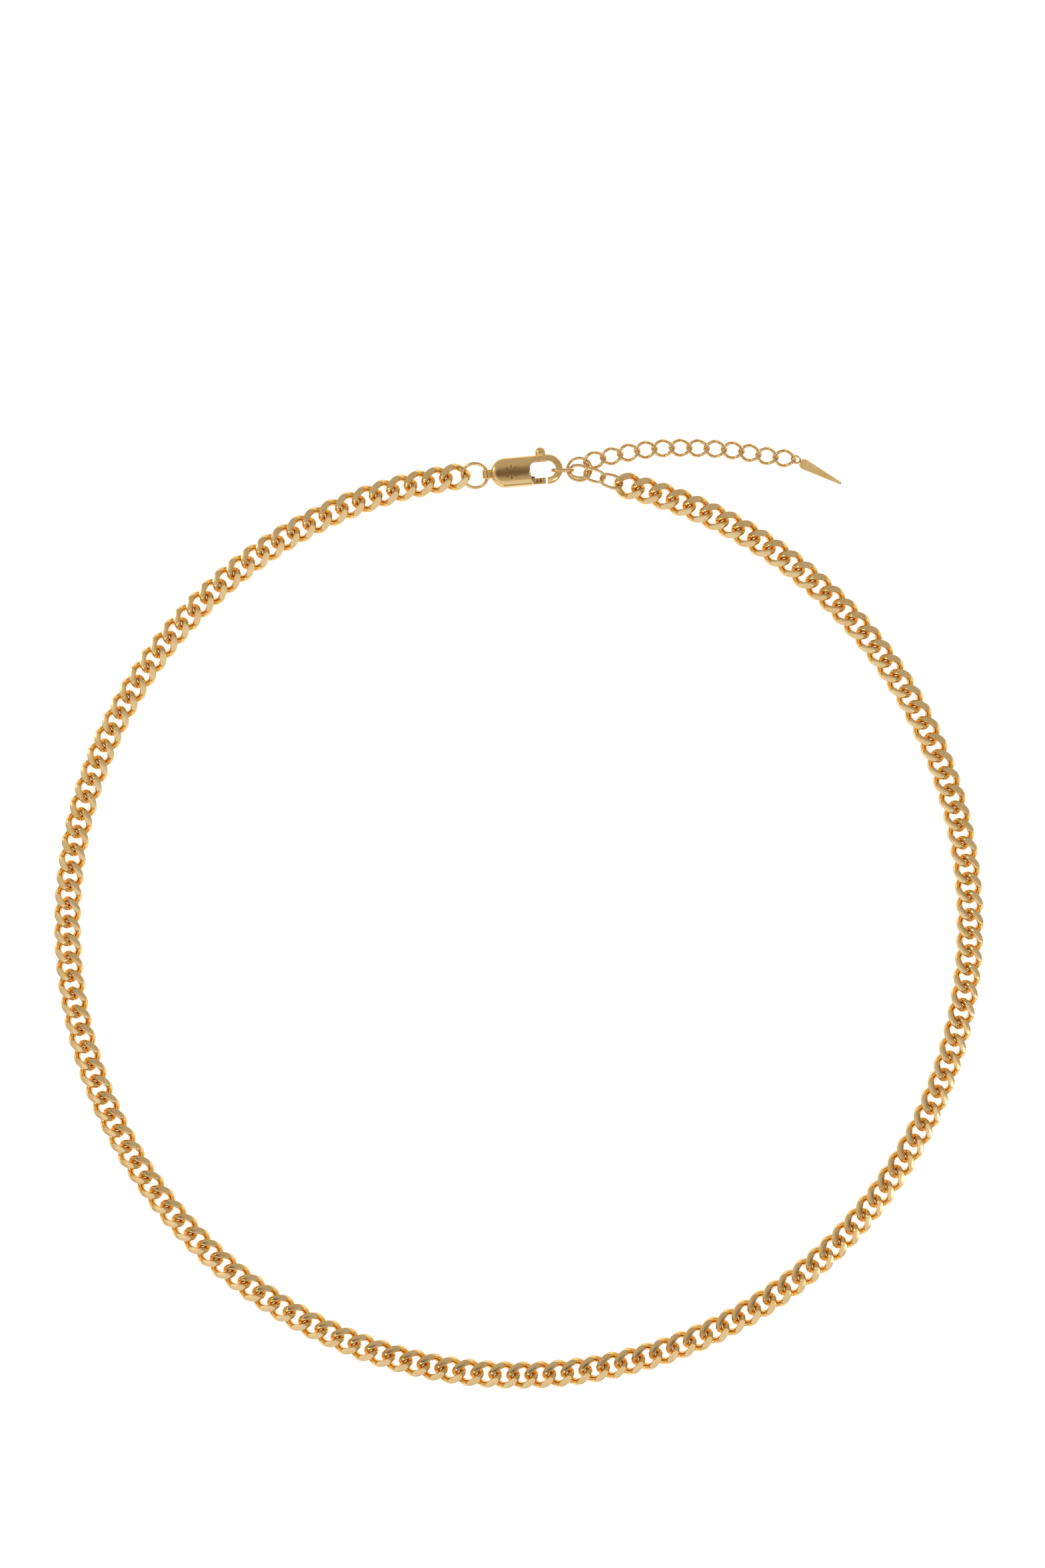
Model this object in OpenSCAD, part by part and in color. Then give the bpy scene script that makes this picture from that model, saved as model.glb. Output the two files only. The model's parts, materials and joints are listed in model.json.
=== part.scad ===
// Curb-chain necklace, closed at its clasp, with an extender and a spike charm.
// The origin is the middle of the neck opening, level with the surface that it lies on.
// +Y is towards the clasp, +X towards the extender and +Z out of the flat loop.

/* [Curb chain] */
// Number of curb links
chain_links = 148; // [132:4:172]
// Outside length of a curb link
curb_l = 4.86; // [4.2:0.02:5.6]
// Outside width of a curb link
curb_w = 4.12; // [3.8:0.02:4.8]
// Thickness of the curb wire
curb_wire = 1.02; // [0.84:0.01:1.04]
// Slack between two curb links
curb_play = 0.11; // [0.06:0.01:0.2]
// Centreline radius of a curb link's end bend
curb_end_r = 1; // [0.8:0.05:1.2]
// Twist of each end of a curb link
curb_twist = 45; // [42:1:48]
// Thickness of the chain at the ridge between its ground facets
curb_t = 2.08; // [1.9:0.02:2.4]
// Outward fall of the ground facets
facet_tilt = 12; // [6:1:18]

/* [Closure] */
// Straight distance between the centres of the two end links
closure_gap = 26.16; // [26:0.02:26.3]
// Turn of the closure against the X axis
closure_turn = -3.02; // [-6:0.02:6]
// Wire of the ring between the chain and the clasp
jump_wire = 0.5; // [0.4:0.02:0.52]
// Centreline radius of that ring
jump_r = 1.9; // [1.85:0.01:1.95]
// Wire of the small rings on the chain's other end
tail_wire = 0.45; // [0.36:0.01:0.46]
// Centreline radius of the extender's first ring
hub_ring_r = 1.78; // [1.74:0.01:1.82]

/* [Clasp] */
// Length of the clasp body
clasp_l = 10.8; // [10.7:0.05:11.4]
// Width of the clasp body
clasp_w = 4.44; // [4.2:0.02:4.8]
// Thickness of the clasp body
clasp_t = 2.4; // [2.3:0.05:2.8]
// Wall round the clasp's eye
clasp_rim = 0.98; // [0.8:0.02:1.05]
// Fall of each face towards the hook's end
hook_taper = 10.5; // [8:0.5:11]
// Thickness of the lever's arms
lever_t = 1; // [0.8:0.02:1.04]
// Width of the slot that the lever works in
lever_slot = 1.1; // [1.06:0.02:1.3]
// Radius of the thumb knob
knob_r = 0.8; // [0.6:0.05:0.95]
// Radius of the lever's rivet
rivet_r = 0.3; // [0.2:0.02:0.36]
// Running clearance of the lever on its rivet
rivet_play = 0.03; // [0.02:0.01:0.08]

/* [Extender] */
// Number of extender links
extender_links = 12; // [6:1:12]
// Outside length of an extender link
ext_l = 3.66; // [3.2:0.02:4.2]
// Outside width of an extender link
ext_w = 2.8; // [2.7:0.02:3.3]
// Thickness of the extender wire
ext_wire = 0.5; // [0.42:0.01:0.52]
// Slack between two extender links
ext_play = 0.05; // [0.04:0.01:0.15]

/* [Spike charm] */
// Length of the spike
spike_l = 6.9; // [4:0.1:12]
// Width of the spike across its flats
spike_w = 1.5; // [1.2:0.05:2]
// Width of the spike's blunt tip
spike_tip_w = 0.34; // [0.2:0.02:0.6]

/* [Hidden] */
fine = 48;
// Solder seams round the wire
seam_rise = 0.004;
seam_w = 0.1;

// Shape of a twisted link: two end bends joined by two swept sides, each in two arcs
function bend_end(a, end_r, twist, f) =
    [a - end_r + end_r * cos(f), end_r * sin(f) * cos(twist), -end_r * sin(f) * sin(twist)];
function bend_dir(twist, f) = [-sin(f), cos(f) * cos(twist), -cos(f) * sin(twist)];
function unit(v) = v / norm(v);
function mirrored(v, u) = 2 * (v * u) * u - v;
function side_way(a, b, end_r, twist, f) = unit([0, b, 0] - bend_end(a, end_r, twist, f));
function side_lean(a, b, end_r, twist, f) =
    mirrored(bend_dir(twist, f), side_way(a, b, end_r, twist, f))[1];
function is_between(a, b, end_r, twist, lo, hi) =
    side_lean(a, b, end_r, twist, lo) * side_lean(a, b, end_r, twist, hi) <= 0;
function bend_angle(a, b, end_r, twist, lo = 3, hi = 75, turns = 40) =
    let (mid = (lo + hi) / 2)
    turns == 0 ? mid
    : is_between(a, b, end_r, twist, lo, mid) ? bend_angle(a, b, end_r, twist, lo, mid, turns - 1)
    : bend_angle(a, b, end_r, twist, mid, hi, turns - 1);

// Neck loop
curb_a = (curb_l - curb_wire) / 2;
curb_b = (curb_w - curb_wire) / 2;
curb_pitch = curb_l - 2 * curb_wire - curb_play;
function loop_sum(r) =
    2 * (chain_links - 1) * asin(curb_pitch / (2 * r)) + 2 * asin(closure_gap / (2 * r));
function loop_radius(lo, hi, turns = 50) =
    let (mid = (lo + hi) / 2)
    turns == 0 ? mid : loop_sum(mid) > 360 ? loop_radius(mid, hi, turns - 1) : loop_radius(lo, mid, turns - 1);
loop_r = loop_radius(30, 150);
link_step = 2 * asin(curb_pitch / (2 * loop_r));
half_gap = asin(closure_gap / (2 * loop_r));
first_angle = 90 + closure_turn + half_gap;
closure_y = loop_r * cos(half_gap);

// Height of the ground facets above the chain's mid-plane, at any distance from its middle
function facet_z(y) = curb_t / 2 - abs(y) * tan(facet_tilt);
// Inner edge of the facets, which the chain lies on
facet_in = 0.36;
chain_z = facet_z(facet_in);

// The chain folds on lines that join two contacts, one on each side of the loop
folds = 8;
nodes_a_side = 2 * folds;
links_a_node = floor((chain_links / 2 - 6) / nodes_a_side);
front_first = nodes_a_side * links_a_node;
front_last = chain_links + 1 - front_first;
front_split = floor((front_first + front_last) / 2);
function left_first(k) = links_a_node * (k - 1);
function right_first(k) = chain_links + 2 - links_a_node * k;

// Pieces between the ends of the chain: place, then turns about Z, Y and X
closure_z = clasp_t / 2;
jump_at = [-10.09, 0.38, 1.08];
jump_turns = [22.9, 0, -2.2];
clasp_at = [-2.41, 1.43, closure_z];
clasp_turn = 7.97;
catch_at = [2.99, 1.83, closure_z + 0.016];
hub_ring_at = [5.49, 2.15, 0.87];
hub_ring_turns = [-14.4, -1.1, 4.7];
tail_at = [[5.43, 1.78, 1.37], [7.79, 1.31, 1.3], [10.37, 0.6, 1.08]];
tail_turns = [[-30.4, -4.7, -6.9], [43.6, 5.5, -16.7], [-30.8, 5.5, -12.1]];
// Outside sizes of the small oval rings
catch_size = [3.58, 2.4];
tail_l = [3.26, 3.53, 3.74];
tail_w = 2.69;
catch_end_r = 0.92;
tail_end_r = 1.05;

// Clasp, in its own frame: X towards the hook, Z out of its face, origin in the middle
clasp_end_r = clasp_w / 2;
clasp_half = clasp_l / 2 - clasp_end_r;
face_bevel = 0.5;
back_bevel = 0.25;
eye_r = clasp_end_r - clasp_rim;
eye_left = 0.53;
eye_corner_r = 0.8;
eye_bevel_from = 0.42;
gate_left = 0.65;
gate_right = 3.05;
gate_gap = 0.3;
gate_t = 1.5;
taper_from = 1.2;
pivot = [-0.6, -0.9];
boss_r = 0.65;
rivet_top = 0.9;
cavity = [[-2.4, -1.75], [0.9, 1.75]];
top_slot = [-1.4, 3.1];
knob_at = [2.28, 2.62];
mark_at = -2.27;
mark_rays = 8;
mark_depth = 0.1;
ray = [0.7, 0.14];
ray_in = 0.36;

// Bail: a strap bent round the jump ring
bail_w = 1.3;
bail_hole_r = 0.41;
bail_wall = 0.31;
bail_rise = 0.45;
bail_at = -5.92;
bail_shank_r = 0.3;
bail_shank_l = 1.2;
seat_play = 0.04;

// Spring leaf inside the clasp
leaf_t = 0.16;
leaf_w = 0.8;
leaf_bend_r = 0.36;
leaf_at = [-1.9, -1.2];

// Extender
ext_a = (ext_l - ext_wire) / 2;
ext_b = (ext_w - ext_wire) / 2;
ext_pitch = ext_l - 2 * ext_wire - ext_play;
ext_end_r = 0.8;
ext_twist = 45;
ext_z = 0.79;
ext_start = [7.69, 3.68];
ext_turns = [16, 15.5, 14, 10, 6.5, 2.5, 1, 0, -3.5, -8, -6, -2];
function ahead(turn) = [cos(turn), sin(turn)];
function ext_at(k) =
    k == 0 ? ext_start : ext_at(k - 1) + ext_pitch / 2 * (ahead(ext_turns[k - 1]) + ahead(ext_turns[k]));

// Spike charm
spike_turn = -24.5;
spike_drop = 5;
spike_roll = 10;
spike_cap = 0.5;
spike_cap_w = 1.05;
spike_eye_r = 0.66;
spike_eye_wire = 0.3;
spike_z = 0.98;
eye_gap = 0.06;
last_turn = ext_turns[extender_links - 1];
eye_slack = spike_eye_r - (ext_wire + spike_eye_wire) / 2 - eye_gap;
eye_lift = (spike_z - ext_z) * cos(ext_twist);
eye_reach = sqrt(max(0, eye_slack * eye_slack - eye_lift * eye_lift));
last_tip = ext_at(extender_links - 1) + ext_a * ahead(last_turn);
spike_at = last_tip + eye_reach * ahead(spike_turn);
spike_seat = spike_eye_r + 0.01;
stem_l = 0.5;

gold = [0.83, 0.66, 0.36];
pale_gold = [0.87, 0.72, 0.44];
deep_gold = [0.74, 0.55, 0.24];

function names(prefix, count) = [for (k = [1:count]) str(prefix, k)];

// An arc of round wire from point p, setting off along t, that ends at point q
module wire_arc(p, t, q, wire) {
    way = unit(q - p);
    half_turn = acos(t * way);
    inward = unit(way - (way * t) * t);
    r = norm(q - p) / (2 * sin(half_turn));
    mid = p + r * inward;
    side = cross(-inward, t);
    multmatrix([
        [-inward[0], t[0], side[0], mid[0]],
        [-inward[1], t[1], side[1], mid[1]],
        [-inward[2], t[2], side[2], mid[2]],
        [0, 0, 0, 1]
    ])
        rotate_extrude(angle = 2 * half_turn, $fn = fine)
            translate([r, 0])
                circle(r = wire / 2, $fn = fine);
}

// A hair-thin soldered seam round the wire at point p, across direction t
module seam(p, t, wire) {
    translate(p)
        rotate([0, acos(t[2]), atan2(t[1], t[0])])
            cylinder(r = wire / 2 + seam_rise, h = seam_w, center = true, $fn = fine);
}

// One closed link of round wire, soldered in the middle of each side and, if asked, at its bends
module wire_link(length, width, wire, end_r, twist, bend_seams = true) {
    a = (length - wire) / 2;
    b = (width - wire) / 2;
    f = bend_angle(a, b, end_r, twist);
    tip = bend_end(a, end_r, twist, f);
    way = bend_dir(twist, f);
    middle = [0, b, 0];
    for (end = [0, 180])
        rotate([0, end, 0]) {
            translate([a - end_r, 0, 0])
                rotate([-twist, 0, 0])
                    rotate([0, 0, -f])
                        rotate_extrude(angle = 2 * f, $fn = fine)
                            translate([end_r, 0])
                                circle(r = wire / 2, $fn = fine);
            for (side = [0, 180])
                rotate([side, 0, 0]) {
                    wire_arc(tip, way, middle, wire);
                    if (bend_seams) seam(tip, way, wire);
                }
        }
    for (side = [0, 180])
        rotate([side, 0, 0])
            seam(middle, mirrored(way, side_way(a, b, end_r, twist, f)), wire);
}

// A curb link, ground to a shallow roof on both faces
module curb_link() {
    out = 0.6 * curb_w;
    intersection() {
        wire_link(curb_l, curb_w, curb_wire, curb_end_r, curb_twist, false);
        rotate([90, 0, 90])
            linear_extrude(height = 2 * curb_l, center = true)
                polygon([
                    [0, facet_z(0)], [-out, facet_z(out)], [-out, -facet_z(out)],
                    [0, -facet_z(0)], [out, -facet_z(out)], [out, facet_z(out)]
                ]);
    }
}

module curb_run(first, last) {
    for (i = [first:last])
        rotate([0, 0, first_angle + link_step * i])
            translate([loop_r, 0, chain_z])
                rotate([0, 0, 90])
                    curb_link();
}

module chain_part(first, last) {
    color(gold)
        curb_run(first, last);
}

// Places its children between the ends of the chain
module at_closure(place = [0, 0, 0], turns = [0, 0, 0]) {
    rotate([0, 0, closure_turn])
        translate([0, closure_y, 0])
            translate(place)
                rotate(turns)
                    children();
}

module round_ring(r, wire) {
    rotate_extrude($fn = 2 * fine)
        translate([r, 0])
            circle(r = wire / 2, $fn = fine);
}

module jump_ring() {
    color(pale_gold)
        at_closure(jump_at, jump_turns)
            round_ring(jump_r, jump_wire);
}

module hub_ring() {
    color(pale_gold)
        at_closure(hub_ring_at, hub_ring_turns)
            round_ring(hub_ring_r, tail_wire);
}

module catch_link() {
    color(pale_gold)
        at_closure(catch_at, [90, 0, -closure_turn])
            wire_link(catch_size[0], catch_size[1], ext_wire, catch_end_r, 0);
}

module tail_ring(k) {
    color(pale_gold)
        at_closure(tail_at[k - 1], tail_turns[k - 1])
            wire_link(tail_l[k - 1], tail_w, tail_wire, tail_end_r, 0);
}

module extender_link(k) {
    color(pale_gold)
        at_closure(concat(ext_at(k - 1), ext_z), [0, 0, ext_turns[k - 1]])
            wire_link(ext_l, ext_w, ext_wire, ext_end_r, ext_twist);
}

// The clasp plate's cross-section from its middle out, with bevelled edges
function plate_edge(r) = [
    [r - back_bevel, -clasp_t / 2], [r, back_bevel - clasp_t / 2], [r, clasp_t / 2 - 1.4 * face_bevel],
    [r - 0.3 * face_bevel, clasp_t / 2 - 0.5 * face_bevel], [r - face_bevel, clasp_t / 2 - 0.12 * face_bevel],
    [r - 1.6 * face_bevel, clasp_t / 2]
];

module clasp_plate() {
    edge = plate_edge(clasp_end_r);
    count = len(edge);
    for (end = [0, 180])
        rotate([0, 0, end])
            translate([clasp_half, 0, 0])
                rotate([0, 0, -90])
                    rotate_extrude(angle = 180, $fn = 2 * fine)
                        polygon(concat([[0, -clasp_t / 2]], edge, [[0, clasp_t / 2]]));
    rotate([90, 0, 90])
        linear_extrude(height = 2 * clasp_half, center = true)
            polygon(concat(edge, [for (i = [count - 1:-1:0]) [-edge[i][0], edge[i][1]]]));
}

// A box given by two corners in plan, through or part of the way through the plate
module cut_box(low, high, z_low, z_high) {
    translate([low[0], low[1], z_low])
        cube([high[0] - low[0], high[1] - low[1], z_high - z_low]);
}

module clasp_eye() {
    left = eye_left + eye_corner_r;
    corner_y = eye_r - eye_corner_r;
    translate([clasp_half, 0, 0])
        cylinder(r = eye_r, h = 2 * clasp_t, center = true, $fn = 2 * fine);
    for (flip = [0, 180])
        rotate([flip, 0, 0])
            translate([clasp_half, 0, eye_bevel_from])
                cylinder(r1 = eye_r, r2 = eye_r + clasp_t / 4, h = clasp_t / 3, $fn = 2 * fine);
    cut_box([left, -eye_r], [clasp_half, eye_r], -clasp_t, clasp_t);
    cut_box([eye_left, -corner_y], [left, corner_y], -clasp_t, clasp_t);
    for (y = [-corner_y, corner_y])
        translate([left, y, 0])
            cylinder(r = eye_corner_r, h = 2 * clasp_t, center = true, $fn = fine);
}

module hook_falls() {
    for (flip = [0, 180])
        rotate([flip, 0, 0])
            translate([taper_from, 0, clasp_t / 2])
                rotate([0, hook_taper, 0])
                    translate([0, -clasp_w, 0])
                        cube([clasp_l, 2 * clasp_w, clasp_t]);
}

module rivet_place() {
    translate([pivot[0], pivot[1], 0])
        children();
}

module rivet_shape(r, grow) {
    translate([0, 0, -clasp_t / 2 - grow])
        cylinder(r = r, h = clasp_t / 2 + rivet_top + grow, $fn = fine);
}

// Plain engraved rays on the face
module face_mark() {
    for (i = [0:mark_rays - 1])
        translate([mark_at, 0, clasp_t / 2 - mark_depth])
            rotate([0, 0, 360 * i / mark_rays])
                translate([ray_in, -ray[1] / 2, 0])
                    cube([ray[0], ray[1], 2 * mark_depth]);
}

module clasp_body() {
    slot = lever_slot / 2;
    color(gold)
        at_closure(clasp_at, [0, 0, clasp_turn])
            difference() {
                clasp_plate();
                clasp_eye();
                hook_falls();
                cut_box(cavity[0], cavity[1], -slot, slot);
                cut_box([top_slot[0], cavity[1][1] - 0.6], [top_slot[1], clasp_w], -slot, slot);
                cut_box([gate_left, -clasp_w], [gate_right, -eye_r / 2], -clasp_t, clasp_t);
                rivet_place()
                    rivet_shape(rivet_r, 1);
                translate([bail_at, 0, 0]) {
                    bail_seat();
                    rotate([0, 90, 0])
                        cylinder(r = bail_shank_r, h = bail_shank_l, $fn = fine);
                }
                face_mark();
            }
}

module bail_seat() {
    r = bail_hole_r + bail_wall + seat_play;
    rotate([90, 0, 0])
        cylinder(r = r, h = bail_w + 2 * seat_play, center = true, $fn = fine);
    cut_box([-r, -bail_w / 2 - seat_play], [r, bail_w / 2 + seat_play], -bail_rise, bail_rise);
    for (z = [-bail_rise, bail_rise])
        translate([0, 0, z])
            rotate([90, 0, 0])
                cylinder(r = r, h = bail_w + 2 * seat_play, center = true, $fn = fine);
}

// A slot with round ends, standing up, across the clasp
module upright_slot(r, w) {
    translate([-r, -w / 2, -bail_rise])
        cube([2 * r, w, 2 * bail_rise]);
    for (z = [-bail_rise, bail_rise])
        translate([0, 0, z])
            rotate([90, 0, 0])
                cylinder(r = r, h = w, center = true, $fn = fine);
}

module clasp_bail() {
    color(gold)
        at_closure(clasp_at, [0, 0, clasp_turn])
            translate([bail_at, 0, 0])
                difference() {
                    union() {
                        upright_slot(bail_hole_r + bail_wall, bail_w);
                        rotate([0, 90, 0])
                            cylinder(r = bail_shank_r, h = bail_shank_l, $fn = fine);
                    }
                    upright_slot(bail_hole_r, 2 * bail_w);
                }
}

module clasp_rivet() {
    color(deep_gold)
        at_closure(clasp_at, [0, 0, clasp_turn])
            rivet_place()
                rivet_shape(rivet_r, 0);
}

module clasp_lever() {
    arm = lever_t / 2;
    color(gold)
        at_closure(clasp_at, [0, 0, clasp_turn])
            difference() {
                union() {
                    rivet_place()
                        cylinder(r = boss_r, h = lever_t, center = true, $fn = fine);
                    cut_box([pivot[0], pivot[1] - boss_r], [gate_left + 0.1, -0.9], -arm, arm);
                    cut_box([gate_left + 0.05, -2.1], [gate_right - gate_gap, -eye_r], -gate_t / 2, gate_t / 2);
                    cut_box([gate_left + 0.05, -eye_r - 0.05], [gate_left + 0.5, -0.9], -arm, arm);
                    cut_box([pivot[0], pivot[1]], [pivot[0] + 0.7, 1.8], -arm, arm);
                    cut_box([pivot[0] + 0.2, 1.3], [knob_at[0], 1.9], -arm, arm);
                    translate([knob_at[0], knob_at[1], 0])
                        intersection() {
                            sphere(r = knob_r, $fn = fine);
                            cube([4 * knob_r, 4 * knob_r, lever_t], center = true);
                        }
                }
                rivet_place()
                    cylinder(r = rivet_r + rivet_play, h = 2 * lever_t, center = true, $fn = fine);
            }
}

// A leaf bent into a V, from the end of the cavity to the lever's upper arm
module clasp_spring() {
    inner = leaf_bend_r - leaf_t;
    color(deep_gold)
        at_closure(clasp_at, [0, 0, clasp_turn])
            translate([leaf_at[0], leaf_at[1], -leaf_w / 2])
                linear_extrude(height = leaf_w) {
                    difference() {
                        circle(r = leaf_bend_r, $fn = fine);
                        circle(r = inner, $fn = fine);
                        translate([-1, 0])
                            square([2, 1]);
                    }
                    translate([-leaf_bend_r, 0])
                        square([leaf_t, 2.6]);
                    polygon([[inner, 0], [leaf_bend_r, 0], [leaf_bend_r + 0.82, 2.3], [inner + 0.82, 2.3]]);
                }
}

// Places its children at the charm's eye, X along the spike
module at_spike() {
    at_closure([spike_at[0], spike_at[1], spike_z], [0, 0, spike_turn])
        rotate([0, spike_drop, 0])
            children();
}

module spike_eye() {
    color(pale_gold)
        at_spike() {
            rotate([90 - ext_twist, 0, 0])
                round_ring(spike_eye_r, spike_eye_wire);
            translate([spike_eye_r, 0, 0])
                rotate([0, 90, 0])
                    cylinder(r = spike_eye_wire / 2, h = stem_l, $fn = fine);
        }
}

// Four-sided length with its flats facing out, from width w1 to w2
module four_sided(w1, w2, l) {
    rotate([0, 90, 0])
        rotate([0, 0, 45])
            cylinder(r1 = w1 / sqrt(2), r2 = w2 / sqrt(2), h = l, $fn = 4);
}

module spike() {
    color(gold)
        at_spike()
            rotate([spike_roll, 0, 0])
                translate([spike_seat + spike_eye_wire / 2, 0, 0])
                    difference() {
                        union() {
                            four_sided(spike_cap_w, spike_w, spike_cap);
                            translate([spike_cap, 0, 0])
                                four_sided(spike_w, spike_tip_w, spike_l - spike_cap);
                        }
                        translate([-stem_l, 0, 0])
                            rotate([0, 90, 0])
                                cylinder(r = spike_eye_wire / 2, h = 2 * stem_l - 0.1, $fn = fine);
                    }
}

for (k = [1:2])
    chain_part(k == 1 ? front_first : front_split + 1, k == 1 ? front_split : front_last);
for (k = [1:nodes_a_side])
    chain_part(left_first(k), left_first(k) + links_a_node - 1);
for (k = [1:nodes_a_side])
    chain_part(right_first(k), min(right_first(k) + links_a_node, chain_links) - 1);
jump_ring();
clasp_body();
clasp_lever();
clasp_spring();
clasp_rivet();
clasp_bail();
catch_link();
hub_ring();
for (k = [1:len(tail_l)])
    tail_ring(k);
for (k = [1:extender_links])
    extender_link(k);
spike_eye();
spike();
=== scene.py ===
import json
import math

import bmesh
import bpy
import numpy as np
from mathutils import Matrix, Vector


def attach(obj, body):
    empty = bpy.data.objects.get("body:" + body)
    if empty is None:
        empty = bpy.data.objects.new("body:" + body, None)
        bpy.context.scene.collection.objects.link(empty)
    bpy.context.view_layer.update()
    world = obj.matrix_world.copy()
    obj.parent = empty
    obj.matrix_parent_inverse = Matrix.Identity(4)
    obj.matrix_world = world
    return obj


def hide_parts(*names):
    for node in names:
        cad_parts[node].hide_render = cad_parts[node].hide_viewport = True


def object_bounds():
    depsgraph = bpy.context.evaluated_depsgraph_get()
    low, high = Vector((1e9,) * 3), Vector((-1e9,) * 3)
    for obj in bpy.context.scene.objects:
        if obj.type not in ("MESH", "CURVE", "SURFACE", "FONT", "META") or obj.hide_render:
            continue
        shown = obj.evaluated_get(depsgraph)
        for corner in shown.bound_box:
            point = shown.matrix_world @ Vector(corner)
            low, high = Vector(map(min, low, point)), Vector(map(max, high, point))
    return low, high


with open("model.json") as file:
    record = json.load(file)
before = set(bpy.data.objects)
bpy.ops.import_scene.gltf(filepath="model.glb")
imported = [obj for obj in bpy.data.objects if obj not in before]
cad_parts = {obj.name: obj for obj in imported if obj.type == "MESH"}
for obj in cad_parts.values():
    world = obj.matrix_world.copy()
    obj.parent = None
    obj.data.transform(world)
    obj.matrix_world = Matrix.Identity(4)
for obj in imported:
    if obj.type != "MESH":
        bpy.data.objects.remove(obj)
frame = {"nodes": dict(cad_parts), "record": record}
cadLow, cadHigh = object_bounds()
nodes = frame["nodes"]
joints = {j["name"]: j for j in frame["record"]["behaviour"]["joints"]}
mm = 0.001


# gold finishes

groundGold = {
    "light": (0.94, 0.67, 0.33),
    "deep": (0.88, 0.58, 0.24),
    "rough": (0.13, 0.22),
    "tintScale": 260.0,
    "lineScale": (900.0, 90.0, 900.0),  # fine lines that the grinding wheel leaves
    "bump": 0.05,
    "bumpDepth": 0.00002,
}
wireGold = {
    "light": (0.88, 0.59, 0.24),
    "deep": (0.80, 0.49, 0.15),
    "rough": (0.07, 0.16),
    "tintScale": 420.0,
    "lineScale": (500.0, 500.0, 500.0),
    "bump": 0.06,
    "bumpDepth": 0.00002,
}
ringGold = {
    "light": (0.82, 0.57, 0.27),
    "deep": (0.72, 0.47, 0.19),
    "rough": (0.09, 0.18),
    "tintScale": 500.0,
    "lineScale": (700.0, 700.0, 700.0),
    "bump": 0.06,
    "bumpDepth": 0.00002,
}
claspGold = {
    "light": (0.92, 0.63, 0.27),
    "deep": (0.82, 0.52, 0.18),
    "rough": (0.10, 0.18),
    "tintScale": 180.0,
    "lineScale": (80.0, 420.0, 420.0),
    "bump": 0.03,
    "bumpDepth": 0.00002,
}
spikeGold = {
    "light": (0.80, 0.52, 0.21),
    "deep": (0.66, 0.40, 0.13),
    "rough": (0.16, 0.24),
    "tintScale": 160.0,
    "lineScale": (70.0, 420.0, 420.0),
    "bump": 0.03,
    "bumpDepth": 0.00002,
}


def goldFinish(name, look):
    mat = bpy.data.materials.new(name)
    mat.use_nodes = True
    tree = mat.node_tree
    shader = tree.nodes["Principled BSDF"]
    shader.inputs["Metallic"].default_value = 1.0
    shader.inputs["Specular IOR Level"].default_value = 0.5
    coord = tree.nodes.new("ShaderNodeTexCoord")
    tint = tree.nodes.new("ShaderNodeTexNoise")  # slow change of the plating's colour
    tint.inputs["Scale"].default_value = look["tintScale"]
    tint.inputs["Detail"].default_value = 3.0
    tree.links.new(coord.outputs["Object"], tint.inputs["Vector"])
    ramp = tree.nodes.new("ShaderNodeValToRGB")
    ramp.color_ramp.elements[0].position = 0.3
    ramp.color_ramp.elements[0].color = (*look["deep"], 1.0)
    ramp.color_ramp.elements[1].position = 0.62
    ramp.color_ramp.elements[1].color = (*look["light"], 1.0)
    tree.links.new(tint.outputs["Fac"], ramp.inputs["Fac"])
    tree.links.new(ramp.outputs["Color"], shader.inputs["Base Color"])
    stretch = tree.nodes.new("ShaderNodeMapping")
    stretch.inputs["Scale"].default_value = look["lineScale"]
    lines = tree.nodes.new("ShaderNodeTexNoise")  # polishing lines and small scratches
    lines.inputs["Scale"].default_value = 1.0
    lines.inputs["Detail"].default_value = 2.0
    lines.inputs["Roughness"].default_value = 0.62
    tree.links.new(coord.outputs["Object"], stretch.inputs["Vector"])
    tree.links.new(stretch.outputs["Vector"], lines.inputs["Vector"])
    worn = tree.nodes.new("ShaderNodeMapRange")
    worn.inputs["From Min"].default_value = 0.35
    worn.inputs["From Max"].default_value = 0.68
    worn.inputs["To Min"].default_value = look["rough"][0]
    worn.inputs["To Max"].default_value = look["rough"][1]
    tree.links.new(lines.outputs["Fac"], worn.inputs["Value"])
    tree.links.new(worn.outputs["Result"], shader.inputs["Roughness"])
    bump = tree.nodes.new("ShaderNodeBump")
    bump.inputs["Strength"].default_value = look["bump"]
    bump.inputs["Distance"].default_value = look["bumpDepth"]
    tree.links.new(lines.outputs["Fac"], bump.inputs["Height"])
    tree.links.new(bump.outputs["Normal"], shader.inputs["Normal"])
    return mat


groundFace = goldFinish("groundFace", groundGold)
roundWire = goldFinish("roundWire", wireGold)
ringWire = goldFinish("ringWire", ringGold)
claspCasting = goldFinish("claspCasting", claspGold)
spikeCasting = goldFinish("spikeCasting", spikeGold)
print("finishes ready")


# helpers for meshes

sharpAngle = math.radians(28)


def meshFrom(name, bm, materials, sharp=sharpAngle):
    bmesh.ops.recalc_face_normals(bm, faces=bm.faces)
    for face in bm.faces:
        face.smooth = True
    for edge in bm.edges:
        edge.smooth = not (edge.is_manifold and edge.calc_face_angle(0.0) > sharp)
    mesh = bpy.data.meshes.new(name)
    bm.to_mesh(mesh)
    bm.free()
    for mat in materials:
        mesh.materials.append(mat)
    return mesh


def asObject(name, mesh):
    obj = bpy.data.objects.new(name, mesh)
    bpy.context.scene.collection.objects.link(obj)
    return obj


def finished(name, obj, materials, sharp=sharpAngle):
    # the object's mesh with its modifiers made real; the object itself is removed
    graph = bpy.context.evaluated_depsgraph_get()
    bm = bmesh.new()
    bm.from_mesh(obj.evaluated_get(graph).to_mesh())
    bpy.data.objects.remove(obj)
    return meshFrom(name, bm, materials, sharp)


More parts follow.
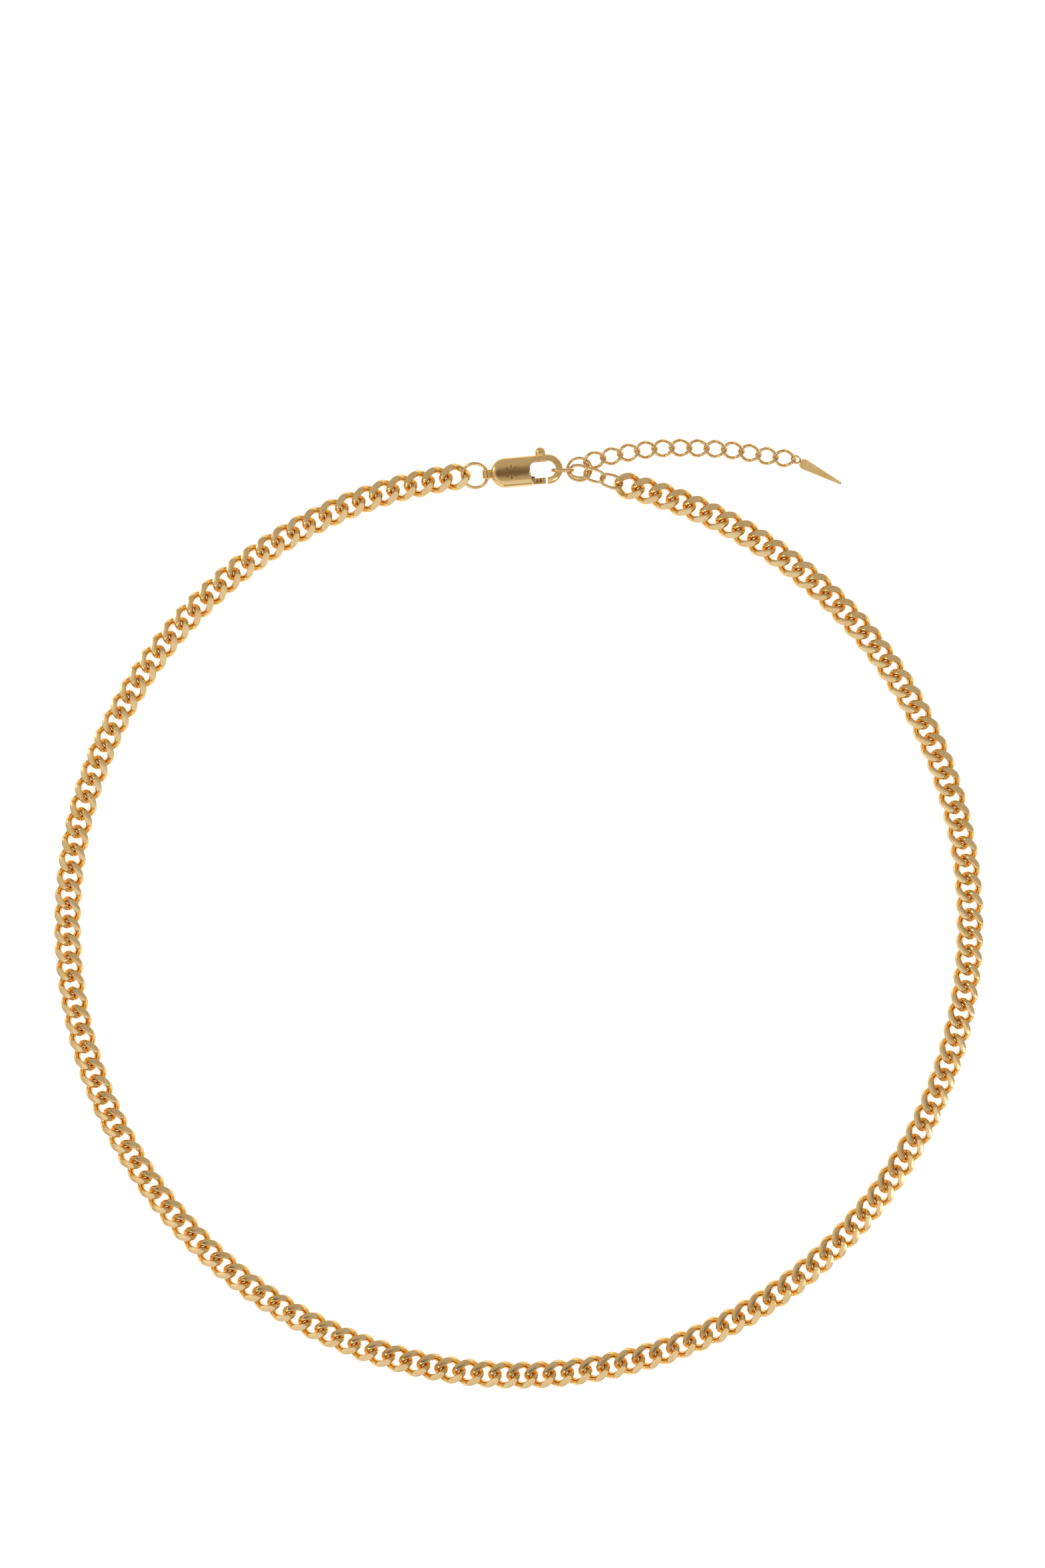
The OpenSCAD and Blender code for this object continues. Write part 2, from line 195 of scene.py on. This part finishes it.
def addCut(obj, cutter, operation):
    cut = obj.modifiers.new("cut", "BOOLEAN")
    cut.operation = operation
    cut.solver = "EXACT"
    cut.object = cutter


def addBevel(obj, width, segments, angle):
    bevel = obj.modifiers.new("edges", "BEVEL")
    bevel.width = width
    bevel.segments = segments
    bevel.limit_method = "ANGLE"
    bevel.angle_limit = math.radians(angle)


def boxInto(bm, low, high):
    made = bmesh.ops.create_cube(bm, size=1.0)
    size = [h - l for l, h in zip(low, high)]
    middle = [(h + l) / 2 for l, h in zip(low, high)]
    place = Matrix.Translation(middle) @ Matrix.Diagonal((*size, 1.0))
    bmesh.ops.transform(bm, matrix=place, verts=made["verts"])


def prismInto(bm, outline, low, high):
    bottom = [bm.verts.new((x, y, low)) for x, y in outline]
    top = [bm.verts.new((x, y, high)) for x, y in outline]
    bm.faces.new(bottom[::-1])
    bm.faces.new(top)
    for i in range(len(outline)):
        j = (i + 1) % len(outline)
        bm.faces.new((bottom[i], bottom[j], top[j], top[i]))


def arcPoints(centre, radius, start, end, count):
    turns = [math.radians(start + (end - start) * i / count) for i in range(count + 1)]
    return [(centre[0] + radius * math.cos(t), centre[1] + radius * math.sin(t)) for t in turns]


def ladderFill(bm, row, up):
    # closes a loop that mirrors about y = 0 with rungs from side to side
    count = len(row)
    tip = max(range(count), key=lambda i: row[i].co.x)
    for i in range(count // 2):
        ids = [tip + i, tip + i + 1, tip - i - 1, tip - i]
        corners = []
        for k in ids:
            if row[k % count] not in corners:
                corners.append(row[k % count])
        bm.faces.new(corners if up else corners[::-1])


def loftInto(bm, loops, ladder=False):
    # loops of the same length, joined into a closed skin with its two ends filled
    rows = [[bm.verts.new(p) for p in loop] for loop in loops]
    count = len(rows[0])
    for low, high in zip(rows, rows[1:]):
        for i in range(count):
            j = (i + 1) % count
            bm.faces.new((low[i], low[j], high[j], high[i]))
    if ladder:
        ladderFill(bm, rows[0], False)
        ladderFill(bm, rows[-1], True)
    else:
        bm.faces.new(rows[0][::-1])
        bm.faces.new(rows[-1])


# where each wire piece lies, from the solid that the frame holds


def solidsOf(node):
    # each closed solid in a node, as an array of triangles
    bm = bmesh.new()
    bm.from_mesh(nodes[node].data)
    bmesh.ops.remove_doubles(bm, verts=bm.verts, dist=0.001 * mm)
    bmesh.ops.triangulate(bm, faces=bm.faces)
    bm.verts.ensure_lookup_table()
    seen = set()
    solids = []
    for start in bm.verts:
        if start.index in seen:
            continue
        seen.add(start.index)
        stack = [start]
        faces = {}
        while stack:
            vert = stack.pop()
            for face in vert.link_faces:
                faces[face.index] = face
            for edge in vert.link_edges:
                other = edge.other_vert(vert)
                if other.index not in seen:
                    seen.add(other.index)
                    stack.append(other)
        if faces:
            solids.append(np.array([[v.co[:] for v in f.verts] for f in faces.values()]))
    bm.free()
    return solids


def lieOf(triangles):
    # the solid's centre of volume and its long, middle and short axes, as a matrix
    a, b, c = triangles[:, 0], triangles[:, 1], triangles[:, 2]
    origin = triangles.reshape(-1, 3).mean(axis=0)
    a, b, c = a - origin, b - origin, c - origin
    volume = np.einsum("ij,ij->i", a, np.cross(b, c)) / 6
    total = a + b + c
    centre = (volume[:, None] * total).sum(axis=0) / 4 / volume.sum()
    spread = sum(np.einsum("i,ij,ik->jk", volume, p, p) for p in (a, b, c, total)) / 20
    spread = spread / volume.sum() - np.outer(centre, centre)
    values, axes = np.linalg.eigh(spread)
    longWay = Vector(axes[:, 2])
    shortWay = Vector(axes[:, 0])
    if shortWay.z < 0 and abs(shortWay.z) > 0.3:
        shortWay = -shortWay
    if longWay.x < 0:
        longWay = -longWay
    midWay = shortWay.cross(longWay)
    place = Matrix((longWay, midWay, shortWay)).transposed().to_4x4()
    place.translation = Vector(origin + centre)
    return place


# wire links: two end bends joined by two swept sides


def twistedLoop(length, width, wire, endRadius, twist, stations):
    a = (length - wire) / 2
    b = (width - wire) / 2
    cosTwist, sinTwist = math.cos(twist), math.sin(twist)

    def bendEnd(f):
        across = endRadius * math.sin(f)
        return Vector((a - endRadius + endRadius * math.cos(f), across * cosTwist, -across * sinTwist))

    def bendWay(f):
        return Vector((-math.sin(f), math.cos(f) * cosTwist, -math.cos(f) * sinTwist))

    def sideLean(f):
        way = (Vector((0, b, 0)) - bendEnd(f)).normalized()
        return 2 * bendWay(f).dot(way) * way.y - bendWay(f).y

    low, high = math.radians(3), math.radians(75)
    for _ in range(50):
        middle = (low + high) / 2
        if sideLean(low) * sideLean(middle) <= 0:
            high = middle
        else:
            low = middle
    f = (low + high) / 2
    points = []
    bends = stations // 6
    for i in range(bends):  # end bend, from its middle
        points.append(bendEnd(f * i / bends))
    start, way = bendEnd(f), bendWay(f)
    chord = Vector((0, b, 0)) - start
    halfTurn = way.angle(chord)
    inward = (chord.normalized() - chord.normalized().dot(way) * way).normalized()
    radius = chord.length / 2 / math.sin(halfTurn)
    sides = stations // 4 - bends
    for i in range(sides):  # swept side, to its middle
        turn = 2 * halfTurn * i / sides
        points.append(start + radius * (math.sin(turn) * way + (1 - math.cos(turn)) * inward))
    points.append(Vector((0, b, 0)))
    quarter = points
    flipY = [Vector((-p.x, p.y, -p.z)) for p in quarter]
    half = quarter + flipY[-2::-1]
    return half + [Vector((p.x, -p.y, -p.z)) for p in half[-2:0:-1]]


def sweptWire(points, wire, around, seam=0.0):
    # round wire along a closed line about the origin; seam sinks a fine groove at the first station
    bm = bmesh.new()
    count = len(points)
    rows = []
    for i, point in enumerate(points):
        way = (points[(i + 1) % count] - points[i - 1]).normalized()
        out = (point - point.dot(way) * way).normalized()
        side = way.cross(out)
        radius = wire / 2 - (seam if i == 0 else 0.0)
        row = []
        for k in range(around):
            turn = 2 * math.pi * k / around
            row.append(bm.verts.new(point + radius * (math.cos(turn) * out + math.sin(turn) * side)))
        rows.append(row)
    for i in range(count):
        here, there = rows[i], rows[(i + 1) % count]
        for k in range(around):
            j = (k + 1) % around
            bm.faces.new((here[k], here[j], there[j], there[k]))
    return bm


curb = {
    "length": 4.86 * mm,
    "width": 4.12 * mm,
    "wire": 1.02 * mm,
    "endRadius": 1.0 * mm,
    "twist": math.radians(45),
    "ridge": 1.04 * mm,  # height of the ground ridge above the middle
    "fall": math.radians(12),  # outward fall of the ground faces
    "edge": 0.03 * mm,
    "faceSlack": (0.03, 0.012),  # how far a ground face's normal may stray, along and up
    "stations": 72,
    "around": 22,
}


def makeCurbLink():
    line = twistedLoop(
        curb["length"], curb["width"], curb["wire"], curb["endRadius"], curb["twist"], curb["stations"]
    )
    bm = sweptWire(line, curb["wire"], curb["around"])
    link = asObject("linkBlank", meshFrom("linkBlank", bm, [roundWire]))
    out = curb["width"]
    drop = out * math.tan(curb["fall"])
    ridge = curb["ridge"]
    roof = [(0, ridge), (-out, ridge - drop), (-out, drop - ridge)]
    roof += [(0, -ridge), (out, drop - ridge), (out, ridge - drop)]
    bm = bmesh.new()
    prismInto(bm, roof, -curb["length"], curb["length"])
    alongLink = Matrix(((0, 0, 1, 0), (1, 0, 0, 0), (0, 1, 0, 0), (0, 0, 0, 1)))
    bmesh.ops.transform(bm, matrix=alongLink, verts=bm.verts)
    cutter = asObject("roof", meshFrom("roof", bm, [groundFace], 0.01))
    addCut(link, cutter, "INTERSECT")
    addBevel(link, curb["edge"], 2, 16)
    mesh = finished("curbLink", link, [roundWire, groundFace])
    bpy.data.objects.remove(cutter)
    up = math.cos(curb["fall"])
    along, upright = curb["faceSlack"]
    for face in mesh.polygons:  # the ground faces are those that lie along the roof
        n = face.normal
        isGround = abs(n.x) < along and abs(abs(n.z) - up) < upright
        face.material_index = 1 if isGround else 0
    return mesh


def joined(name, mesh, places, materials):
    bm = bmesh.new()
    for place in places:
        copy = mesh.copy()
        copy.transform(place)
        bm.from_mesh(copy)
        bpy.data.meshes.remove(copy)
    whole = bpy.data.meshes.new(name)
    bm.to_mesh(whole)
    bm.free()
    for mat in materials:
        whole.materials.append(mat)
    return asObject(name, whole)


def bodyOf(node):
    bodies = frame["record"]["behaviour"]["bodies"]
    return next(name for name, members in bodies.items() if node in members)


def stands(obj, node):
    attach(obj, bodyOf(node))
    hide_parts(node)


curbLink = makeCurbLink()
chainNodes = sorted(n for n in nodes if n.startswith("chain_"))
for node in chainNodes:
    places = []
    for triangles in solidsOf(node):
        centre = lieOf(triangles).translation
        place = Matrix.Rotation(math.atan2(centre.y, centre.x) + math.pi / 2, 4, "Z")
        place.translation = centre
        places.append(place)
    stands(joined(node + "_links", curbLink, places, [roundWire, groundFace]), node)
print("curb chain made:", len(chainNodes), "runs of links")


rings = {
    "hubWire": 0.45 * mm,
    "tailWire": 0.45 * mm,
    "tailEndRadius": 1.05 * mm,
    "catchWire": 0.5 * mm,
    "catchEndRadius": 0.92 * mm,
    "jumpWire": 0.5 * mm,
    "stations": 96,
    "around": 20,
    "seam": 0.02 * mm,
}


def reach(triangles, place):
    # half sizes of a solid along its own axes
    local = (triangles.reshape(-1, 3) - np.array(place.translation)) @ np.array(place.to_3x3())
    return np.abs(local).max(axis=0)


def roundRing(node, wire):
    triangles = solidsOf(node)[0]
    place = lieOf(triangles)
    radius = reach(triangles, place)[0] - wire / 2
    turns = [2 * math.pi * i / rings["stations"] for i in range(rings["stations"])]
    line = [Vector((radius * math.cos(t), radius * math.sin(t), 0)) for t in turns]
    bm = sweptWire(line, wire, rings["around"], rings["seam"])
    obj = asObject(node + "_wire", meshFrom(node, bm, [ringWire]))
    obj.data.transform(place)
    stands(obj, node)


def ovalRing(node, wire, endRadius):
    triangles = solidsOf(node)[0]
    place = lieOf(triangles)
    half = reach(triangles, place)
    line = twistedLoop(2 * half[0], 2 * half[1], wire, endRadius, 0.0, rings["stations"])
    bm = sweptWire(line, wire, rings["around"], rings["seam"])
    obj = asObject(node + "_wire", meshFrom(node, bm, [ringWire]))
    obj.data.transform(place)
    stands(obj, node)


roundRing("jump_ring", rings["jumpWire"])
roundRing("hub_ring", rings["hubWire"])
ovalRing("catch_link", rings["catchWire"], rings["catchEndRadius"])
for node in sorted(n for n in nodes if n.startswith("tail_ring_")):
    ovalRing(node, rings["tailWire"], rings["tailEndRadius"])
print("joining rings made")


extender = {
    "length": 3.66 * mm,
    "width": 2.8 * mm,
    "wire": 0.5 * mm,
    "endRadius": 0.8 * mm,
    "twist": math.radians(45),
    "stations": 72,
    "around": 18,
    "seam": 0.02 * mm,
}
extenderLine = twistedLoop(
    extender["length"],
    extender["width"],
    extender["wire"],
    extender["endRadius"],
    extender["twist"],
    extender["stations"],
)
extenderWire = sweptWire(extenderLine, extender["wire"], extender["around"], extender["seam"])
extenderLink = meshFrom("extenderLink", extenderWire, [ringWire])
for node in sorted(n for n in nodes if n.startswith("extender_link_")):
    place = lieOf(solidsOf(node)[0])
    stands(joined(node + "_wire", extenderLink, [place], [ringWire]), node)
print("extender made")


# clasp

clasp = {
    "turn": math.radians(4.95),  # of the clasp's length against the X axis
    "pivot": (-0.6 * mm, -0.9 * mm),  # of the lever, from the clasp's middle
    "endRadius": 2.22 * mm,
    "half": 3.18 * mm,  # from the middle to the centre of each round end
    "thick": 2.4 * mm,
    "backEdge": 0.3 * mm,
    "faceEdge": 0.78 * mm,
    "faceEdgeDrop": 0.62 * mm,
    "crown": 0.16 * mm,
    "fallFrom": 1.2 * mm,
    "fall": math.tan(math.radians(10.5)),
    "eyeRadius": 1.24 * mm,
    "eyeLeft": 0.53 * mm,
    "eyeCorner": 0.8 * mm,
    "slot": 0.55 * mm,  # half width of the slot that the lever works in
    "cavity": ((-2.4 * mm, -1.75 * mm), (0.9 * mm, 1.75 * mm)),
    "topSlot": ((-1.4 * mm, 1.15 * mm), (3.1 * mm, 3.5 * mm)),
    "gate": (0.65 * mm, 3.05 * mm),
    "gateReach": (-4 * mm, -0.62 * mm),
    "backInsets": (1.9 * mm, 1.3 * mm, 0.7 * mm),
    "faceInsets": (1.1 * mm, 1.5 * mm, 1.9 * mm),
    "fallSoftness": 0.35 * mm,
    "edge": 0.1 * mm,
}


def stadium(radius, z):
    # round ends and finely divided straight sides, so the face can fall towards the hook
    half = clasp["half"]
    ends, straight = 28, 20
    loop = arcPoints((half, 0), radius, -90, 90, ends)
    loop += [(half - 2 * half * i / straight, radius) for i in range(1, straight)]
    loop += arcPoints((-half, 0), radius, 90, 270, ends)
    loop += [(2 * half * i / straight - half, -radius) for i in range(1, straight)]
    return [(x, y, z) for x, y in loop]


def plateLoops():
    top = clasp["thick"] / 2
    radius = clasp["endRadius"]
    loops = []
    steps = 5
    for inset in clasp["backInsets"]:
        loops.append(stadium(radius - inset, -top))
    for i in range(steps + 1):  # rounded back edge
        turn = math.pi / 2 * i / steps
        inset = clasp["backEdge"] * (1 - math.sin(turn))
        loops.append(stadium(radius - inset, clasp["backEdge"] * (1 - math.cos(turn)) - top))
    for i in range(steps + 3):  # wide rolled edge of the face
        turn = math.pi / 2 * i / (steps + 2)
        inset = clasp["faceEdge"] * (1 - math.cos(turn))
        loops.append(stadium(radius - inset, top - clasp["faceEdgeDrop"] * (1 - math.sin(turn))))
    for inset in clasp["faceInsets"]:
        loops.append(stadium(radius - inset, top))
    return loops


def shapedPlate():
    bm = bmesh.new()
    loftInto(bm, plateLoops(), True)
    soft = clasp["fallSoftness"]
    for vert in bm.verts:
        past = vert.co.x - clasp["fallFrom"]
        past = (past + math.sqrt(past * past + soft * soft)) / 2
        rise = 1 - past * clasp["fall"] / (clasp["thick"] / 2)
        if vert.co.z > 0:  # the face is slightly crowned across
            across = vert.co.y / clasp["endRadius"]
            high = vert.co.z / (clasp["thick"] / 2)
            vert.co.z -= clasp["crown"] * across * across * high
        vert.co.z *= rise
    return bm


def claspCutter():
    bm = bmesh.new()
    far = 2 * clasp["thick"]
    half = clasp["half"]
    eye = clasp["eyeRadius"]
    left = clasp["eyeLeft"] + clasp["eyeCorner"]
    corner = eye - clasp["eyeCorner"]
    outline = arcPoints((half, 0), eye, -90, 90, 32)
    outline += arcPoints((left, corner), clasp["eyeCorner"], 90, 180, 12)
    outline += arcPoints((left, -corner), clasp["eyeCorner"], 180, 270, 12)
    prismInto(bm, outline, -far, far)
    return bm


def slotCutter():
    bm = bmesh.new()
    slot = clasp["slot"]
    low, high = clasp["cavity"]
    boxInto(bm, (*low, -slot), (*high, slot))
    return bm


def topCutter():
    bm = bmesh.new()
    slot = clasp["slot"]
    low, high = clasp["topSlot"]
    boxInto(bm, (*low, -slot), (*high, slot))
    return bm


def gateCutter():
    bm = bmesh.new()
    far = 2 * clasp["thick"]
    left, right = clasp["gate"]
    front, back = clasp["gateReach"]
    boxInto(bm, (left, front, -far), (right, back, far))
    return bm


mark = {
    "at": -2.27 * mm,
    "rays": 8,
    "inner": 0.36 * mm,
    "outer": 1.06 * mm,
    "width": 0.18 * mm,
    "deep": 0.1 * mm,
}


def markCutter():
    # plain engraved rays
    bm = bmesh.new()
    for i in range(mark["rays"]):
        made = bmesh.ops.create_cube(bm, size=1.0)
        length = mark["outer"] - mark["inner"]
        size = Matrix.Diagonal((length, mark["width"], 2 * mark["deep"], 1.0))
        out = Matrix.Translation((mark["inner"] + length / 2, 0, clasp["thick"] / 2))
        turn = Matrix.Rotation(2 * math.pi * i / mark["rays"], 4, "Z")
        place = Matrix.Translation((mark["at"], 0, 0)) @ turn @ out @ size
        bmesh.ops.transform(bm, matrix=place, verts=made["verts"])
    return bm


claspPlace = Matrix.Rotation(clasp["turn"], 4, "Z")
pivotPoint = Vector(joints["lever_pivot"]["pos_m"])
claspPlace.translation = pivotPoint - claspPlace.to_3x3() @ Vector((*clasp["pivot"], 0))


def cutOut(obj, cutters):
    # cuts one after another; each cutter is a mesh with outward faces
    made = []
    for i, bm in enumerate(cutters):
        cutter = asObject(obj.name + "Cutter" + str(i), meshFrom("cutter", bm, [claspCasting], 0.01))
        addCut(obj, cutter, "DIFFERENCE")
        made.append(cutter)
    return made


def merged(name, meshes, mat):
    bm = bmesh.new()
    for mesh in meshes:
        bm.from_mesh(mesh)
    whole = bpy.data.meshes.new(name)
    bm.to_mesh(whole)
    bm.free()
    whole.materials.append(mat)
    return whole


def makeClaspBody():
    blank = asObject("claspBlank", meshFrom("claspBlank", shapedPlate(), [claspCasting]))
    made = cutOut(blank, [claspCutter(), slotCutter(), topCutter(), gateCutter()])
    addBevel(blank, clasp["edge"], 3, 38)
    shell = asObject("claspShell", finished("claspShell", blank, [claspCasting], math.radians(40)))
    made += cutOut(shell, [markCutter()])  # after the edges are rounded, so the rays stay crisp
    mesh = finished("claspBody", shell, [claspCasting], math.radians(40))
    for cutter in made:
        bpy.data.objects.remove(cutter)
    mesh.transform(claspPlace)
    obj = asObject("clasp_body_shell", mesh)
    stands(obj, "clasp_body")


makeClaspBody()
print("clasp body made")


lever = {
    "arm": 0.5 * mm,  # half thickness of the arms
    "gate": ((0.7 * mm, -2.14 * mm), (2.75 * mm, -1.24 * mm)),
    "gateHalf": 0.78 * mm,
    "boss": 0.65 * mm,
    "knobAt": (2.28 * mm, 2.62 * mm),
    "knob": 0.8 * mm,
    "grooves": 3,
    "groove": 0.08 * mm,  # half width and depth of each
    "margin": 0.2 * mm,
    "edge": 0.16 * mm,
    "neck": ((0.1 * mm, 0.45 * mm), -1.3 * mm),  # where the arm meets the gate
    "stalk": (0.7 * mm, 1.8 * mm),
    "crank": (0.2 * mm, 1.3 * mm, 1.9 * mm),
    "knobFlat": 0.62,
    "knobLean": 0.25 * mm,
}


def makeLever():
    bm = bmesh.new()
    arm = lever["arm"]
    px, py = clasp["pivot"]
    low, high = lever["gate"]
    half = lever["gateHalf"]
    boxInto(bm, (low[0], low[1], -half), (high[0], high[1], half))
    gate = asObject("gateBlank", meshFrom("gateBlank", bm, [claspCasting]))
    bm = bmesh.new()
    pitch = (high[0] - low[0]) / (lever["grooves"] + 1)
    for i in range(lever["grooves"]):  # plain grooves across the gate's face
        x = low[0] + pitch * (i + 1)
        near = (x - lever["groove"], low[1] + lever["margin"], half - lever["groove"])
        boxInto(bm, near, (x + lever["groove"], high[1] - lever["margin"], half + mm))
    grooves = asObject("grooves", meshFrom("grooves", bm, [claspCasting], 0.01))
    addCut(gate, grooves, "DIFFERENCE")
    addBevel(gate, lever["edge"], 3, 40)
    gateMesh = finished("gate", gate, [claspCasting], math.radians(45))
    bpy.data.objects.remove(grooves)
    bm = bmesh.new()
    prismInto(bm, arcPoints((px, py), lever["boss"], 0, 350, 35), -arm, arm)
    (lap, wide), neckFront = lever["neck"]
    stalkWide, stalkTop = lever["stalk"]
    crankIn, crankFront, crankTop = lever["crank"]
    boxInto(bm, (px, py - lever["boss"], -arm), (low[0] + lap, py, arm))
    boxInto(bm, (low[0], neckFront, -arm), (low[0] + wide, py, arm))
    boxInto(bm, (px, py, -arm), (px + stalkWide, stalkTop, arm))
    boxInto(bm, (px + crankIn, crankFront, -arm), (lever["knobAt"][0], crankTop, arm))
    arms = meshFrom("arms", bm, [claspCasting])
    bm = bmesh.new()
    bmesh.ops.create_uvsphere(bm, u_segments=36, v_segments=20, radius=lever["knob"])
    bmesh.ops.scale(bm, vec=(1.0, 1.0, lever["knobFlat"]), verts=bm.verts)
    for vert in bm.verts:  # the knob leans towards the clasp's middle where it meets the arm
        below = max(0.0, -vert.co.y) / lever["knob"]
        vert.co.x -= lever["knobLean"] * below * below
        vert.co.y -= lever["knobLean"] * below
    bmesh.ops.translate(bm, vec=(*lever["knobAt"], 0), verts=bm.verts)
    knob = meshFrom("knob", bm, [claspCasting])
    whole = merged("lever", [gateMesh, arms, knob], claspCasting)
    whole.transform(claspPlace)
    obj = asObject("clasp_lever_shell", whole)
    stands(obj, "clasp_lever")


makeLever()


bail = {
    "at": -5.92 * mm,
    "hole": 0.41 * mm,
    "wall": 0.31 * mm,
    "rise": 0.45 * mm,
    "width": 1.3 * mm,
    "shank": 0.3 * mm,
    "shankFrom": 0.15 * mm,
    "shankLength": 1.2 * mm,
    "rim": 0.07 * mm,
}


def uprightSlot(radius, rise):
    loop = arcPoints((0, rise), radius, 0, 180, 14)
    return loop + arcPoints((0, -rise), radius, 180, 360, 14)


def makeBail():
    bm = bmesh.new()
    outer = uprightSlot(bail["hole"] + bail["wall"], bail["rise"])
    inner = uprightSlot(bail["hole"], bail["rise"])
    side = bail["width"] / 2
    rim = bail["rim"]
    # the strap's section, walked round: outside, edge, inside, edge
    section = [(0.0, rim - side), (0.0, side - rim), (0.25, side), (0.75, side)]
    section += [(1.0, side - rim), (1.0, rim - side), (0.75, -side), (0.25, -side)]
    rows = []
    for (ox, oz), (ix, iz) in zip(outer, inner):
        rows.append([bm.verts.new((ox + (ix - ox) * t, y, oz + (iz - oz) * t)) for t, y in section])
    for i in range(len(rows)):
        here, there = rows[i], rows[(i + 1) % len(rows)]
        for k in range(len(section)):
            j = (k + 1) % len(section)
            bm.faces.new((here[k], here[j], there[j], there[k]))
    loops = []
    radius = bail["shank"]
    for x in (bail["hole"] + bail["shankFrom"], bail["shankLength"]):
        turns = [2 * math.pi * i / 20 for i in range(20)]
        loops.append([(x, radius * math.cos(t), radius * math.sin(t)) for t in turns])
    loftInto(bm, loops)
    mesh = meshFrom("bail", bm, [claspCasting], math.radians(35))
    mesh.transform(claspPlace @ Matrix.Translation((bail["at"], 0, 0)))
    obj = asObject("clasp_bail_strap", mesh)
    stands(obj, "clasp_bail")


makeBail()
for node in ("clasp_rivet", "clasp_spring"):
    nodes[node].data.materials.clear()
    nodes[node].data.materials.append(claspCasting)
print("clasp made")


# spike charm

spike = {"edge": 0.07 * mm}
spikeNode = nodes["spike"]
spikeNode.data.materials.clear()
spikeNode.data.materials.append(spikeCasting)
addBevel(spikeNode, spike["edge"], 3, 15)
nodes["spike_eye"].data.materials.clear()
nodes["spike_eye"].data.materials.append(ringWire)
print("spike made")


# floor, light and camera

studio = {
    "floorSize": 3.0,
    "floorGap": 0.02 * mm,
    "floorGlow": 0.92,
    "floorShade": 0.25,  # how much the floor answers to the lamps
    "world": 0.5,
    "distance": 0.65,
    "middle": (0.56 * mm, 20.94 * mm),
    "tall": 235.2 * mm,  # height of what the camera takes in
    "sensor": 36.0,
}


def makeFloor():
    bm = bmesh.new()
    half = studio["floorSize"] / 2
    square = ((-half, -half), (half, -half), (half, half), (-half, half))
    bm.faces.new([bm.verts.new((x, y, 0)) for x, y in square])
    mat = bpy.data.materials.new("paperSweep")
    mat.use_nodes = True
    shader = mat.node_tree.nodes["Principled BSDF"]
    shader.inputs["Base Color"].default_value = (*[studio["floorShade"]] * 3, 1.0)
    shader.inputs["Roughness"].default_value = 0.9
    shader.inputs["Emission Color"].default_value = (1.0, 1.0, 1.0, 1.0)
    shader.inputs["Emission Strength"].default_value = studio["floorGlow"]
    floor = asObject("floor", meshFrom("floor", bm, [mat]))
    floor.location.z = cadLow[2] - studio["floorGap"]


softboxes = [
    # name, azimuth and elevation in degrees, width and height in metres, brightness, colour
    ("frontSky", -90, 62, 1.5, 1.0, 0.46, (0.68, 0.78, 1.0)),
    ("leftSky", 180, 55, 1.1, 0.6, 0.2, (1.0, 0.97, 0.88)),
    ("keyLeft", 150, 40, 0.26, 0.26, 5.0, (1.0, 0.99, 0.97)),
    ("keyRight", -30, 46, 0.2, 0.2, 4.5, (1.0, 0.98, 0.95)),
    ("lowStrip", -120, 26, 0.9, 0.1, 4.0, (1.0, 0.99, 0.97)),  # draws the fine lines along round edges
]
lampDistance = 1.2


def skyPoint(azimuth, elevation):
    az, el = math.radians(azimuth), math.radians(elevation)
    return Vector((math.cos(az) * math.cos(el), math.sin(az) * math.cos(el), math.sin(el)))


def softbox(name, azimuth, elevation, width, height, brightness, colour):
    # azimuth runs anticlockwise from +X; the light looks at the middle of the necklace
    light = bpy.data.lights.new(name, "AREA")
    light.shape = "RECTANGLE"
    light.size = width
    light.size_y = height
    light.energy = brightness * math.pi * width * height
    light.color = colour
    obj = asObject(name, light)
    out = skyPoint(azimuth, elevation)
    obj.location = out * lampDistance
    obj.rotation_mode = "QUATERNION"
    obj.rotation_quaternion = out.to_track_quat("Z", "Y")


darkCard = {"azimuth": 90, "elevation": 83, "size": (0.3, 0.2), "shade": (0.12, 0.08, 0.05)}


def makeCard():
    # a dark card that only the metal shows
    bm = bmesh.new()
    half = [side / 2 for side in darkCard["size"]]
    square = ((-1, -1), (1, -1), (1, 1), (-1, 1))
    bm.faces.new([bm.verts.new((x * half[0], y * half[1], 0)) for x, y in square])
    mat = bpy.data.materials.new("darkCard")
    mat.use_nodes = True
    shader = mat.node_tree.nodes["Principled BSDF"]
    shader.inputs["Base Color"].default_value = (*darkCard["shade"], 1.0)
    shader.inputs["Roughness"].default_value = 0.9
    card = asObject("darkCard", meshFrom("darkCard", bm, [mat]))
    out = skyPoint(darkCard["azimuth"], darkCard["elevation"])
    card.location = out * lampDistance
    card.rotation_mode = "QUATERNION"
    card.rotation_quaternion = out.to_track_quat("Z", "Y")
    card.visible_camera = False


def makeStudio():
    world = bpy.data.worlds.new("studioWorld")
    world.use_nodes = True
    glow = world.node_tree.nodes["Background"]
    glow.inputs["Color"].default_value = (1.0, 0.97, 0.93, 1.0)
    glow.inputs["Strength"].default_value = studio["world"]
    bpy.context.scene.world = world
    for box in softboxes:
        softbox(*box)


def makeCamera():
    lens = bpy.data.cameras.new("camera")
    lens.sensor_width = studio["sensor"]
    lens.lens = studio["sensor"] * studio["distance"] / studio["tall"]
    lens.clip_start = 0.01
    lens.clip_end = 10.0
    camera = asObject("camera", lens)
    camera.location = (*studio["middle"], studio["distance"])
    bpy.context.scene.camera = camera


makeFloor()
makeCard()
makeStudio()
makeCamera()
bpy.context.scene.view_settings.view_transform = "Standard"
print("studio ready")
